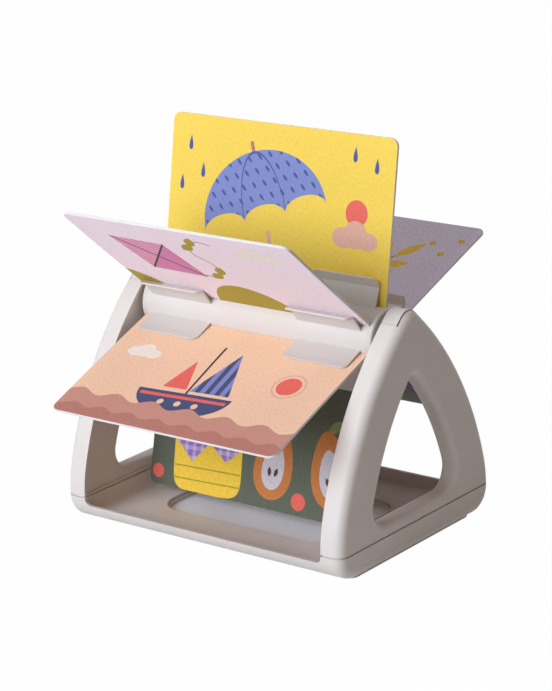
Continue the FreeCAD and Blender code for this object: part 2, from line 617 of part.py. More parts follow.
def picture_card():
    """One card, upright in its slot."""
    card = box(-CARD_HALF, CARD_HALF, -CARD_T / 2, CARD_T / 2, CARD_INNER_R, CARD_OUTER_R)
    return card.makeFillet(CARD_CORNER_R, [e for e in card.Edges if runs_along(e, Y_AXIS)])


# ---- Assembly ------------------------------------------------------------------------------
def assembly():
    """Every node by name: one solid, or a list of solids for a group of screws."""
    nodes = {
        "base_tray": base_tray(),
        "base_cover": base_cover(),
        "recess_inlay": recess_inlay(),
        "drum_core": turned(drum_core(), 0),
        "cover_screws": cover_screws(),
        "panel_screws": panel_screws(),
        "drum_screws": drum_screws(),
    }
    for name, right in (("side_shell", side_shell()), ("side_liner", side_liner()),
                        ("bearing_cap", bearing_cap()), ("drum_end_cap", turned(drum_end_cap(), CARD_TILT))):
        nodes[name + "_right"] = right
        nodes[name + "_left"] = mirrored(right)
    segment = drum_segment()
    card = picture_card()
    for index, angle in enumerate(segment_angles()):
        nodes[f"drum_segment_{index + 1}"] = turned(segment, angle)
        nodes[f"picture_card_{index + 1}"] = turned(card, angle - STEP_ANGLE / 2)
    return nodes


def main():
    """Write one STEP file for each node."""
    os.makedirs("parts", exist_ok=True)
    for name, shape in assembly().items():
        if isinstance(shape, list):
            shape = Part.makeCompound(shape)
        elif len(shape.Solids) == 1:
            shape = shape.Solids[0]
        shape.exportStep(f"parts/{name}.step")
        print(f"{name}: {len(shape.Solids)} solid(s), {shape.Volume / 1000:.2f} cm3, valid {shape.isValid()}")


main()
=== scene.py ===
"""Looks of a tummy time book: a tray base, two arched side panels and a turning drum of picture cards.

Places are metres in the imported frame. A picture is drawn in millimetres from the middle of its
card's face, with x to the reader's right and y up the picture.
"""
from __future__ import annotations

import json
import logging
import math
from dataclasses import dataclass, replace
from enum import Enum
from functools import partial

import bmesh
import bpy
from mathutils import Matrix, Vector

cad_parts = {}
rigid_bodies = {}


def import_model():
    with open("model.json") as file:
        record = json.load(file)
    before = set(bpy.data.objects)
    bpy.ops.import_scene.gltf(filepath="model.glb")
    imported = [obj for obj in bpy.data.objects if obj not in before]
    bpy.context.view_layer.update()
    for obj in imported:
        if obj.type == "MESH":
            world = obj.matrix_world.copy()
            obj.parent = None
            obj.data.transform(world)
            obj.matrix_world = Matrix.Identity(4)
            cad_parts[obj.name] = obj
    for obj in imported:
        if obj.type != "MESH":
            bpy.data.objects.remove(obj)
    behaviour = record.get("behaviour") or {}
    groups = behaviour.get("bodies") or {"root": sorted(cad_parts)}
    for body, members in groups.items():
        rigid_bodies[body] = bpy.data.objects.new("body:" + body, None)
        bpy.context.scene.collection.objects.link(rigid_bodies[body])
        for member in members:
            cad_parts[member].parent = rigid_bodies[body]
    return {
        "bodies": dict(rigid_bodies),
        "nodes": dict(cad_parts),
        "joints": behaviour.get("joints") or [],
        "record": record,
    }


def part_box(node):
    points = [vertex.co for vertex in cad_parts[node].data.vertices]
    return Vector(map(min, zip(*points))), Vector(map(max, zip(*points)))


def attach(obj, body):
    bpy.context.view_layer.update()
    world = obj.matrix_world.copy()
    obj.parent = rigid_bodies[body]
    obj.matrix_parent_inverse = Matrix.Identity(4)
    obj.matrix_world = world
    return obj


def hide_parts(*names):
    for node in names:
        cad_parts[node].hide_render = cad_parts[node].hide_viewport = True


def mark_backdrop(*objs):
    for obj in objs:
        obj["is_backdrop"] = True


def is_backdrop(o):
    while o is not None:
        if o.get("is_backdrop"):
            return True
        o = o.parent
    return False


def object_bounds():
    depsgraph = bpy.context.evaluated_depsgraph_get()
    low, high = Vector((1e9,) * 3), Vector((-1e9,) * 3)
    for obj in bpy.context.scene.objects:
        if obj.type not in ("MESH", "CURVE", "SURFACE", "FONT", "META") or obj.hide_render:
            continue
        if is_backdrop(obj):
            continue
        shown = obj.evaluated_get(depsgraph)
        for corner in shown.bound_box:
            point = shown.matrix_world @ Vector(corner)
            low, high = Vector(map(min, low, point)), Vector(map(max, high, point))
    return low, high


LOG = logging.getLogger("tummy_time_book")
MM = 0.001
PRINT_MAP = "Print"          # UV map of the cards, in millimetres
EVERYWHERE = 9.0             # past the end of any field, in half sizes

Socket = bpy.types.NodeSocket
Material = bpy.types.Material
Thing = bpy.types.Object
Colour = tuple[float, float, float, float]
WHITE: Colour = (1.0, 1.0, 1.0, 1.0)


def screen_colour(red: int, green: int, blue: int) -> Colour:
    """The scene-linear values, with an alpha of 1, of a screen colour given from 0 to 255."""
    values = []
    for channel in (red / 255, green / 255, blue / 255):
        low = channel <= 0.04045
        values.append(channel / 12.92 if low else ((channel + 0.055) / 1.055) ** 2.4)
    return (*values, 1.0)


def direction(azimuth: float, elevation: float) -> Vector:
    """The unit vector towards a viewer or a lamp.

    Args:
        azimuth: degrees about Z; 0 is the front, 90 the right side.
        elevation: degrees above the floor.

    Returns:
        The vector, away from the object.
    """
    turn, rise = math.radians(azimuth), math.radians(elevation)
    return Vector((math.sin(turn) * math.cos(rise), -math.cos(turn) * math.cos(rise), math.sin(rise)))


def added(name: str, data: bpy.types.ID) -> Thing:
    """A new object in the scene, with the data given."""
    made = bpy.data.objects.new(name, data)
    bpy.context.scene.collection.objects.link(made)
    return made


@dataclass(frozen=True)
class Noise:
    """Soft random values over a surface. The scale is features in one unit of length."""

    scale: float
    octaves: float
    low: float = 0.0
    high: float = 1.0

    USUAL = (0.25, 0.75)         # nearly all raw values lie between these


class Wiring:
    """Adds the nodes of one tree and joins them."""

    MIX_INPUTS = (0, 6, 7)       # a colour mix's factor and its two colours
    MIX_OUTPUT = 2

    def __init__(self, tree: bpy.types.NodeTree) -> None:
        """Works on an existing tree."""
        self.tree = tree

    def node(self, kind: str, **settings: object) -> bpy.types.Node:
        """A new node of a type given by its full name, with its properties set."""
        made = self.tree.nodes.new(kind)
        for name, value in settings.items():
            setattr(made, name, value)
        return made

    def feed(self, socket: Socket, value: object) -> None:
        """Links a socket to an input, or writes a value there; None leaves it as it is."""
        if isinstance(value, bpy.types.NodeSocket):
            self.tree.links.new(value, socket)
        elif value is not None:
            socket.default_value = value

    def result(self, kind: str, given: dict[object, object], **settings: object) -> Socket:
        """The first output of a new node.

        Args:
            kind: the node's type.
            given: values or sockets for its inputs, by name or by place.
            settings: its properties.

        Returns:
            The output's socket.
        """
        made = self.node(kind, **settings)
        for place, value in given.items():
            self.feed(made.inputs[place], value)
        return made.outputs[0]

    def math(self, operation: str, *values: object) -> Socket:
        """The result of a Math node, fed with numbers or sockets in the order of its inputs."""
        return self.result("ShaderNodeMath", dict(enumerate(values)), operation=operation)

    def scaled(self, vector: object, factor: object) -> Socket:
        """A vector or a colour times a number."""
        return self.result("ShaderNodeVectorMath", {0: vector, "Scale": factor}, operation="SCALE")

    def parts(self, vector: Socket) -> tuple[Socket, Socket]:
        """The x and y of a vector."""
        made = self.node("ShaderNodeSeparateXYZ")
        self.feed(made.inputs[0], vector)
        return made.outputs[0], made.outputs[1]

    def combined(self, *values: object) -> Socket:
        """A vector made of its x, y and z; None leaves a part at nothing."""
        return self.result("ShaderNodeCombineXYZ", dict(enumerate(values)))

    def group(self, tree: bpy.types.NodeTree, **values: object) -> Socket:
        """The output of a node group, its inputs fed by name."""
        return self.result("ShaderNodeGroup", values, node_tree=tree)

    def placed(self, point: Socket, centre: object, turn: object, size: object) -> Socket:
        """A point as seen from a turned frame.

        Args:
            point: the point.
            centre: origin of the frame.
            turn: angle of the frame about Z, in radians.
            size: length of the frame's units.

        Returns:
            The point in the frame's own coordinates.
        """
        given = {"Vector": point, "Location": centre, "Rotation": self.combined(None, None, turn),
                 "Scale": size}
        return self.result("ShaderNodeMapping", given, vector_type="TEXTURE")

    def mixed(self, factor: object, first: object, second: object) -> Socket:
        """Two colours mixed; the factor is the share of the second."""
        made = self.node("ShaderNodeMix", data_type="RGBA")
        for place, value in zip(self.MIX_INPUTS, (factor, first, second)):
            self.feed(made.inputs[place], value)
        return made.outputs[self.MIX_OUTPUT]

    def either(self, factor: Socket, first: Socket, second: Socket) -> Socket:
        """Two shaders mixed; the factor is the share of the second."""
        return self.result("ShaderNodeMixShader", {0: factor, 1: first, 2: second})

    def noise(self, point: Socket, kind: Noise) -> Socket:
        """The value that a noise has at a point."""
        given = {"Vector": point, "Scale": kind.scale, "Detail": kind.octaves}
        spread = (self.result("ShaderNodeTexNoise", given), *Noise.USUAL, kind.low, kind.high)
        return self.result("ShaderNodeMapRange", dict(enumerate(spread)))

    def bump(self, height: Socket, depth_mm: float, normal: Socket | None = None) -> Socket:
        """A normal, disturbed by a height from 0 to 1 that spans a depth."""
        return self.result("ShaderNodeBump",
                           {"Distance": depth_mm * MM, "Height": height, "Normal": normal})


class EmptyMaterial(Wiring):
    """A material under construction: only its surface's socket, with nothing in it."""

    def __init__(self, name: str) -> None:
        """Starts the material."""
        self.material = bpy.data.materials.new(name)
        self.material.use_nodes = True
        super().__init__(self.material.node_tree)
        self.tree.nodes.clear()
        self.surface = self.node("ShaderNodeOutputMaterial").inputs[0]


class NewMaterial(EmptyMaterial):
    """A material under construction, with its one shader."""

    def __init__(self, name: str) -> None:
        """Starts the material with a Principled shader."""
        super().__init__(name)
        self.shader = self.node("ShaderNodeBsdfPrincipled")
        self.feed(self.surface, self.shader.outputs[0])

    def set(self, **values: object) -> None:
        """Feeds the shader's inputs, named with underscores for spaces."""
        for name, value in values.items():
            self.feed(self.shader.inputs[name.replace("_", " ")], value)

    def soft_edges(self, radius_mm: float) -> Socket:
        """A normal that rounds sharp moulded edges a little."""
        return self.result("ShaderNodeBevel", {"Radius": radius_mm * MM}, samples=6)


# ---- Finishes ----
@dataclass(frozen=True)
class Finish:
    """Cloudy tone, uneven gloss and fine grain. The noises' scales are features in a metre."""

    name: str
    colour: Colour
    tone: Noise
    gloss: Noise
    grain: Noise = Noise(1400.0, 3.0)
    grain_mm: float = 0.0        # nothing: no grain
    metal: float = 0.0
    edge_mm: float = 0.0         # nothing: edges as sharp as the solid's

    def material(self) -> Material:
        """The finish as a node material, laid out in the object's own coordinates."""
        new = NewMaterial(self.name)
        place = new.node("ShaderNodeTexCoord").outputs["Object"]
        normal = new.soft_edges(self.edge_mm) if self.edge_mm else None
        if self.grain_mm:
            normal = new.bump(new.noise(place, self.grain), self.grain_mm, normal)
        new.set(Base_Color=new.scaled(self.colour[:3], new.noise(place, self.tone)), Metallic=self.metal,
                Roughness=new.noise(place, self.gloss), Normal=normal)
        return new.material


@dataclass(frozen=True)
class MouldedPlastic(Finish):
    """Satin moulding with a fine spark-eroded grain and slightly softened edges."""

    tone: Noise = Noise(22.0, 3.0, 0.97, 1.03)
    gloss: Noise = Noise(75.0, 4.0, 0.50, 0.62)
    grain: Noise = Noise(2600.0, 2.0)
    grain_mm: float = 0.018
    edge_mm: float = 0.45


@dataclass(frozen=True)
class SmoothSheet(Finish):
    """Plain matt sheet, laid in the recess of the tray."""

    tone: Noise = Noise(9.0, 2.0, 1.0, 0.93)
    gloss: Noise = Noise(160.0, 3.0, 0.34, 0.46)
    grain: Noise = Noise(900.0, 2.0)
    grain_mm: float = 0.008


@dataclass(frozen=True)
class ZincSteel(Finish):
    """Bright zinc plate on a pressed screw."""

    tone: Noise = Noise(700.0, 3.0, 1.0, 0.75)
    gloss: Noise = Noise(1500.0, 2.0, 0.28, 0.5)
    metal: float = 1.0


@dataclass(frozen=True)
class BoardEdge(Finish):
    """Cut edge of a laminated board: pale core with faint layers."""

    tone: Noise = Noise(1400.0, 3.0, 1.0, 0.86)
    gloss: Noise = Noise(1400.0, 3.0, 0.85, 0.85)
    grain_mm: float = 0.04


# ---- Printing ----
class Ink(Enum):
    """Colours that the cards are printed in."""

    SUNNY = screen_colour(250, 213, 84)
    GOLD = screen_colour(247, 207, 62)
    PERIWINKLE = screen_colour(128, 140, 200)
    DUSK_BLUE = screen_colour(74, 84, 150)
    PINK = screen_colour(214, 134, 178)
    ROSE = screen_colour(236, 176, 198)
    LILAC = screen_colour(248, 232, 240)
    HEATHER = screen_colour(234, 228, 252)
    OLIVE = screen_colour(176, 156, 44)
    MOSS = screen_colour(134, 150, 96)
    PEACH = screen_colour(247, 206, 172)
    CREAM = screen_colour(246, 236, 222)
    TAN = screen_colour(232, 178, 158)
    CLAY = screen_colour(203, 146, 130)
    BRICK = screen_colour(184, 122, 109)
    CORAL = screen_colour(236, 106, 92)
    NAVY = screen_colour(62, 74, 112)
    BARK = screen_colour(72, 52, 48)
    FOREST = screen_colour(92, 100, 82)
    RUST = screen_colour(204, 126, 62)
    MIST = screen_colour(212, 208, 216)
    VIOLET = screen_colour(150, 116, 190)
    LAVENDER = screen_colour(208, 192, 232)
    SKY = screen_colour(166, 204, 220)


class Form(Enum):
    """Outlines of a field of colour: the powers of x and y in its edge's formula. Waves have their own."""

    ROUND = (2.0, 2.0)
    LEAF = (1.0, 2.0)
    DIAMOND = (1.0, 1.0)
    SOFT_BLOCK = (5.0, 5.0)
    BLOCK = (40.0, 40.0)
    WAVES = (0.0, 0.0)


class Fill(Enum):
    """What a field of colour is filled with."""

    PLAIN = "plain"
    GINGHAM = "gingham"
    STRIPES = "stripes"
    DASHES = "dashes"


@dataclass(frozen=True)
class Mark:
    """One field of colour: its middle, its half width and half height, and degrees of turn.

    It's cut off at low and high, in half heights. Hollow is the value of its edge's formula where its
    hole ends. Taper is the share of its width that is gone at the top. Second and pitch are its fill's
    other ink and step. For waves, wide is their length and tall the height of a crest.
    """

    form: Form
    ink: Ink
    x: float
    y: float
    wide: float
    tall: float
    turn: float = 0.0
    low: float = -EVERYWHERE
    high: float = EVERYWHERE
    taper: float = 0.0
    hollow: float = -1.0         # below nothing: not hollow
    fill: Fill = Fill.PLAIN
    second: Ink = Ink.CREAM
    pitch: float = 6.0


oval, leaf, diamond, soft_block, block, waves = (partial(Mark, form) for form in Form)


def grouped(x: float, y: float, turn: float, marks: list[Mark]) -> list[Mark]:
    """Marks drawn about their own origin, moved and turned as one.

    Args:
        x: where their origin goes.
        y: where their origin goes.
        turn: degrees, counter-clockwise.
        marks: the marks.

    Returns:
        New marks.
    """
    cos, sin = math.cos(math.radians(turn)), math.sin(math.radians(turn))
    return [replace(mark, x=x + mark.x * cos - mark.y * sin, y=y + mark.x * sin + mark.y * cos,
                    turn=mark.turn + turn) for mark in marks]


def disc(ink: Ink, x: float, y: float, radius: float, **more: object) -> Mark:
    """A round mark, with any of a mark's other settings."""
    return oval(ink, x, y, radius, radius, **more)


def cloud(ink: Ink, x: float, y: float, size: float) -> list[Mark]:
    """A cloud of three rounds on a flat foot."""
    return [oval(ink, x - size * 0.55, y, size * 0.55, size * 0.42),
            oval(ink, x, y + size * 0.16, size * 0.55, size * 0.55),
            oval(ink, x + size * 0.6, y - size * 0.04, size * 0.5, size * 0.36)]


def umbrella_picture() -> list[Mark]:
    """An umbrella in the rain, with a cloud and a low sun."""
    panel = dict(low=0.0, fill=Fill.DASHES, second=Ink.DUSK_BLUE, pitch=9.0)
    canopy = [block(Ink.TAN, 0, -24, 1.7, 26),
              disc(Ink.TAN, 6.3, -50, 8, high=0.0, hollow=0.62),
              block(Ink.BRICK, 0, 46, 1.5, 6),
              oval(Ink.PERIWINKLE, 0, 0, 53, 45, **panel),
              oval(Ink.DUSK_BLUE, 0, 0, 18.6, 45, low=0.0, hollow=0.93)]
    canopy += [oval(Ink.SUNNY, x, -1, 17.6, 9) for x in (-35.3, 0, 35.3)]
    drops = [oval(Ink.DUSK_BLUE, x, y, 2.6, 5.2, taper=0.85)
             for x, y in ((-78, 40), (-84, 12), (-66, 22), (62, 46), (80, 40))]
    sun = [disc(Ink.CORAL, 66, 7, 9)] + cloud(Ink.TAN, 66, -10, 17)
    return drops + sun + grouped(-10, -4, 17, canopy)


def kite_picture() -> list[Mark]:
    """A kite with a bow tail over two hills, and a cloud."""
    kite = [oval(Ink.BARK, 17, -29, 17, 14, high=0.0, hollow=0.90),
            oval(Ink.BARK, 50, -29, 17, 14, low=0.0, hollow=0.90),
            diamond(Ink.PINK, 0, 0, 28, 36),
            diamond(Ink.ROSE, 0, 0, 28, 36, low=0.0, fill=Fill.STRIPES, second=Ink.PINK, pitch=5.0),
            block(Ink.BARK, 0, 0, 0.7, 36),
            block(Ink.BARK, 0, 0, 28, 0.7)]
    for x, y in ((17, -42), (50, -16)):
        kite += [leaf(Ink.OLIVE, x + side * 6, y, 4, 7.5, turn=90 + side * 12) for side in (-1, 1)]
    hills = [oval(Ink.OLIVE, -104, -64, 40, 44), oval(Ink.OLIVE, 4, -66, 36, 46)]
    return hills + cloud(Ink.CREAM, 58, 38, 16) + grouped(-42, 12, 50, kite)


def boat_picture() -> list[Mark]:
    """A sailing boat on a clay-red sea, with a cloud and a ringed sun."""
    boat = [block(Ink.BARK, 0, 26, 0.9, 26),
            block(Ink.NAVY, 17, 25, 16, 22, taper=1.0, fill=Fill.STRIPES, second=Ink.PERIWINKLE, pitch=8.0),
            block(Ink.CORAL, -12, 19, 10, 15, taper=1.0),
            oval(Ink.NAVY, 0, 0, 38, 24, high=0.0),
            block(Ink.CORAL, 0, -4.5, 35, 1.5)]
    boat += [disc(Ink.PEACH, x, -11, 2.6) for x in (-14, 0, 14)]
    sea = [waves(Ink.CLAY, 0, -36, 31, 2.6), waves(Ink.BRICK, 9, -50, 24, 1.8)]
    sun = [disc(Ink.CORAL, 62, 6, 9), disc(Ink.TAN, 62, 6, 12.5, hollow=0.8)]
    return sun + cloud(Ink.CREAM, -66, 12, 13) + grouped(-6, -20, 3, boat) + sea


def picnic_picture() -> list[Mark]:
    """A picnic basket with a gingham cloth, two halved pears and two berries."""
    check = dict(fill=Fill.GINGHAM, second=Ink.LAVENDER, pitch=7.0)
    basket = [oval(Ink.RUST, 0, 16, 24, 27, low=0.0, hollow=0.76),
              soft_block(Ink.GOLD, 0, -7, 30, 25),
              soft_block(Ink.VIOLET, 0, 12, 33, 8, **check),
              diamond(Ink.VIOLET, -14, 5, 15, 15, high=0.0, **check),
              diamond(Ink.VIOLET, 16, 5, 15, 12, high=0.0, **check)]
    basket += [block(Ink.OLIVE, 0, y, 29, 0.5) for y in (-14, -23)]
    pear = [leaf(Ink.MOSS, 7, 29, 3.4, 8, turn=-60),
            oval(Ink.RUST, 0, 0, 20, 27, taper=0.42),
            oval(Ink.MIST, 0, -3, 11, 17, taper=0.35),
            leaf(Ink.BARK, -2.5, -8, 1.6, 3.4, turn=12),
            leaf(Ink.BARK, 3, -7, 1.6, 3.4, turn=-12)]
    return (grouped(-45, -28, 2, basket) + grouped(13, -26, -8, pear) + grouped(60, -24, 10, pear)
            + [disc(Ink.CORAL, 36, -50, 6), disc(Ink.CORAL, -88, -50, 5)])


def blanket_picture() -> list[Mark]:
    """A striped blanket under two toadstools."""
    blanket = [block(Ink.VIOLET, 0, -10, 95, 20, fill=Fill.STRIPES, second=Ink.BARK, pitch=6.0)]
    caps = []
    for x in (-48, 34):
        caps += [soft_block(Ink.MIST, x, -8, 6, 15),
                 oval(Ink.CORAL, x, 2, 21, 20, low=0.0, fill=Fill.DASHES, pitch=9.0)]
    return blanket + caps


def sprig_picture() -> list[Mark]:
    """Sprigs of long leaves with berries around a ring."""
    sprig = [block(Ink.BARK, 0, -4, 0.7, 26)]
    for step, turn in ((-18, 48), (-6, 42), (6, 36)):
        sprig += [leaf(Ink.GOLD, side * 8.5, step + 4, 4.4, 13, turn=-side * turn) for side in (-1, 1)]
    sprig.append(leaf(Ink.GOLD, 0, 27, 4.2, 13))
    berries = [disc(Ink.GOLD, x, y, 2.8, fill=Fill.DASHES, second=Ink.BARK, pitch=2.6)
               for x, y in ((66, 35), (79, 24), (86, 41), (-6, 30), (6, 40))]
    return (grouped(38, 2, -38, sprig) + grouped(-52, 4, 26, sprig) + berries
            + [disc(Ink.ROSE, 4, -8, 15), disc(Ink.HEATHER, 4, -8, 9)])


def rainbow_picture() -> list[Mark]:
    """A rainbow between two clouds."""
    bands = ((56, Ink.CREAM), (47, Ink.SUNNY), (38, Ink.PERIWINKLE), (29, Ink.PINK), (20, Ink.TAN))
    arcs = [disc(ink, 0, -18, radius, low=0.0) for radius, ink in bands]
    return arcs + cloud(Ink.CREAM, -42, -20, 22) + cloud(Ink.CREAM, 42, -20, 22)


def hills_picture() -> list[Mark]:
    """Sun and a cloud over green hills with a row of trees."""
    sun = [disc(Ink.SUNNY, -46, 26, 24, hollow=0.78, fill=Fill.STRIPES, second=Ink.SKY, pitch=5.0),
           disc(Ink.SUNNY, -46, 26, 16)]
    hills = [oval(Ink.FOREST, -56, -70, 72, 62), oval(Ink.MOSS, 46, -72, 84, 66)]
    trees = []
    for x, y in ((22, 2), (46, 8), (70, 0)):
        trees += [block(Ink.BARK, x, y - 8, 1.4, 10), leaf(Ink.FOREST, x, y + 10, 9, 18)]
    return sun + trees + hills + cloud(Ink.CREAM, 30, 44, 13)


def toadstool_picture() -> list[Mark]:
    """Two toadstools in the grass."""
    marks = []
    for x, size in ((-38, 1.0), (30, 0.76)):
        marks += [soft_block(Ink.CREAM, x, -20 * size, 9 * size, 26 * size),
                  oval(Ink.CORAL, x, 2, 36 * size, 34 * size, low=0.0, fill=Fill.DASHES, pitch=13.0)]
    blades = [leaf(Ink.MOSS, x, -42, 3.4, 17, turn=(x % 5 - 2) * 7) for x in range(-88, 92, 11)]
    return marks + [waves(Ink.FOREST, 0, -46, 44, 2.0)] + blades


def orchard_picture() -> list[Mark]:
    """A round tree with fruit, on a hill."""
    crown = [disc(Ink.MOSS, x, y, r) for x, y, r in ((-20, 8, 24), (18, 8, 26), (0, 24, 26))]
    fruit = [disc(Ink.CORAL, x, y, 4.4)
             for x, y in ((-28, 4), (-12, 20), (4, 2), (12, 30), (28, 12), (-4, 38))]
    trunk = [block(Ink.BRICK, 0, -26, 6, 26, taper=0.35)]
    return trunk + crown + fruit + [oval(Ink.OLIVE, 0, -88, 110, 44)]


def night_picture() -> list[Mark]:
    """A moon among stars, and a dark cloud."""
    moon = [disc(Ink.SUNNY, -30, 8, 27), disc(Ink.NAVY, -18, 15, 23)]
    stars = []
    places = ((22, 28, 8), (54, 8, 10), (30, -16, 6), (74, 38, 6), (-76, 34, 7), (-70, -20, 6), (2, -4, 4))
    for x, y, size in places:
        stars += [diamond(Ink.CREAM, x, y, size * 0.32, size),
                  diamond(Ink.CREAM, x, y, size, size * 0.32)]
    return moon + stars + cloud(Ink.DUSK_BLUE, 44, -42, 24)


def bunting_picture() -> list[Mark]:
    """Two strings of flags, each hung from a sagging line."""
    flags = []
    inks = (Ink.CORAL, Ink.PERIWINKLE, Ink.OLIVE, Ink.PINK, Ink.NAVY, Ink.GOLD, Ink.CLAY)
    half_line, pitch = 104, 26.0
    for row, sag in ((52, 34), (8, 33)):
        flags.append(oval(Ink.BARK, 0, row, half_line, sag, high=0.0, hollow=0.95))
        for index, ink in enumerate(inks):
            x = (index - 3) * pitch
            y = row - 10 - sag * math.sqrt(1 - (x / half_line) ** 2)
            flags.append(block(ink, x, y, 9, 11, turn=180 + x * 0.14, taper=1.0))
    return flags


@dataclass(frozen=True)
class Picture:
    """The print on one face of a card."""

    name: str
    paper: Ink
    marks: list[Mark]
    relief_and_painted_shade: float = 1.0          # how deep the board's grain is, and how strong its painted shade and highlight are


class PrintShop:
    """Turns pictures into materials, with node groups that all the pictures share."""

    UNIT = (1.0, 1.0, 1.0)
    NARROWEST = 0.001            # least width of a tapered field, which x is divided by
    CHECK = 0.42                 # width of a gingham stripe, in pitches
    DASH = (0.13, 0.26)          # half sizes of a dash, in pitches
    DASH_LEAN = 0.45             # how far it leans over its height
    ROWS_BELOW = 200.0           # keeps the count of rows above nothing
    FELT = Noise(0.5, 4.0)       # scales are features in a millimetre
    FIBRE = Noise(0.9, 3.0)
    FIBRE_TURN = 0.3             # radians
    FIBRE_STRETCH = (0.8, 3.0, 1.0)
    MATT = 0.72                  # the print's roughness

    def __init__(self, painted_grain_shading: float = 0.20, grain_mm: float = 0.30) -> None:
        """Builds the groups once.

        Args:
            painted_grain_shading: how much lighter the crests of the grain are painted than its hollows, a
                painted highlight on the crests and painted shade in the hollows.
            grain_mm: from the hollows to the crests.
        """
        self.painted_grain_shading = painted_grain_shading
        self.grain_mm = grain_mm
        self.field = self.field_group()
        self.waves = self.waves_group()
        self.fills = {Fill.GINGHAM: self.gingham_group(), Fill.STRIPES: self.stripes_group(),
                      Fill.DASHES: self.dashes_group()}

    @staticmethod
    def new_group(name: str, **sockets: str) -> tuple[Wiring, dict[str, Socket], Socket]:
        """An empty shader group with one output.

        Args:
            name: the group's name.
            sockets: Float or Vector for each input, by name.

        Returns:
            The wiring, the inputs by name, and the socket that the result goes to.
        """
        tree = bpy.data.node_groups.new(name, "ShaderNodeTree")
        for label, kind in sockets.items():
            tree.interface.new_socket(label, in_out="INPUT", socket_type="NodeSocket" + kind)
        tree.interface.new_socket("Share", in_out="OUTPUT", socket_type="NodeSocketFloat")
        wiring = Wiring(tree)
        entry, leave = wiring.node("NodeGroupInput"), wiring.node("NodeGroupOutput")
        return wiring, {label: entry.outputs[label] for label in sockets}, leave.inputs[0]

    def field_group(self) -> bpy.types.NodeTree:
        """1 inside a field of colour: |x| to a power plus |y| to a power is under 1."""
        w, inputs, result = self.new_group(
            "Field of colour", Point="Vector", Centre="Vector", Turn="Float", Size="Vector", PowerX="Float",
            PowerY="Float", Taper="Float", Low="Float", High="Float", Hollow="Float")
        x, y = w.parts(w.placed(inputs["Point"], inputs["Centre"], inputs["Turn"], inputs["Size"]))
        climb = w.math("MULTIPLY", w.math("ADD", y, 1.0), w.math("MULTIPLY", inputs["Taper"], 0.5))
        width = w.math("MAXIMUM", w.math("SUBTRACT", 1.0, climb), self.NARROWEST)
        across = w.math("POWER", w.math("DIVIDE", w.math("ABSOLUTE", x), width), inputs["PowerX"])
        total = w.math("ADD", across, w.math("POWER", w.math("ABSOLUTE", y), inputs["PowerY"]))
        inside = w.math("MULTIPLY", w.math("LESS_THAN", total, 1.0),
                        w.math("GREATER_THAN", total, inputs["Hollow"]))
        between = w.math("MULTIPLY", w.math("GREATER_THAN", y, inputs["Low"]),
                         w.math("LESS_THAN", y, inputs["High"]))
        w.feed(result, w.math("MULTIPLY", inside, between))
        return w.tree

    def waves_group(self) -> bpy.types.NodeTree:
        """1 below a wavy line."""
        w, inputs, result = self.new_group("Waves", Point="Vector", Centre="Vector", Size="Vector")
        x, y = w.parts(w.placed(inputs["Point"], inputs["Centre"], 0.0, self.UNIT))
        pitch, height = w.parts(inputs["Size"])
        crest = w.math("SINE", w.math("DIVIDE", w.math("MULTIPLY", x, math.tau), pitch))
        w.feed(result, w.math("LESS_THAN", y, w.math("MULTIPLY", crest, height)))
        return w.tree

    def local_cells(self, name: str) -> tuple[Wiring, Socket, Socket, Socket]:
        """A new fill group and the place in it, in pitches along and across the field.

        Args:
            name: the group's name.

        Returns:
            The wiring, the two places and the result's socket.
        """
        w, inputs, result = self.new_group(name, Point="Vector", Centre="Vector", Turn="Float",
                                           Pitch="Float")
        x, y = w.parts(w.placed(inputs["Point"], inputs["Centre"], inputs["Turn"], self.UNIT))
        return w, w.math("DIVIDE", x, inputs["Pitch"]), w.math("DIVIDE", y, inputs["Pitch"]), result

    def stripes_group(self) -> bpy.types.NodeTree:
        """Even stripes."""
        w, x, _, result = self.local_cells("Stripes")
        w.feed(result, w.math("LESS_THAN", w.math("FRACT", x), 0.5))
        return w.tree

    def gingham_group(self) -> bpy.types.NodeTree:
        """Crossed stripes: none, half or full strength."""
        w, x, y, result = self.local_cells("Gingham")
        bands = [w.math("LESS_THAN", w.math("FRACT", place), self.CHECK) for place in (x, y)]
        w.feed(result, w.math("MULTIPLY", w.math("ADD", *bands), 0.5))
        return w.tree

    def dashes_group(self) -> bpy.types.NodeTree:
        """Short slanting dashes in staggered rows."""
        w, x, y, result = self.local_cells("Dashes")
        row = w.math("ADD", y, self.ROWS_BELOW)
        shift = w.math("MULTIPLY", w.math("MODULO", w.math("FLOOR", row), 2.0), 0.5)
        cell_x = w.math("SUBTRACT", w.math("FRACT", w.math("ADD", x, shift)), 0.5)
        cell_y = w.math("SUBTRACT", w.math("FRACT", row), 0.5)
        lean = w.math("ADD", cell_x, w.math("MULTIPLY", cell_y, self.DASH_LEAN))
        squares = [w.math("POWER", w.math("DIVIDE", w.math("ABSOLUTE", place), half), 2.0)
                   for place, half in zip((lean, cell_y), self.DASH)]
        w.feed(result, w.math("LESS_THAN", w.math("ADD", *squares), 1.0))
        return w.tree

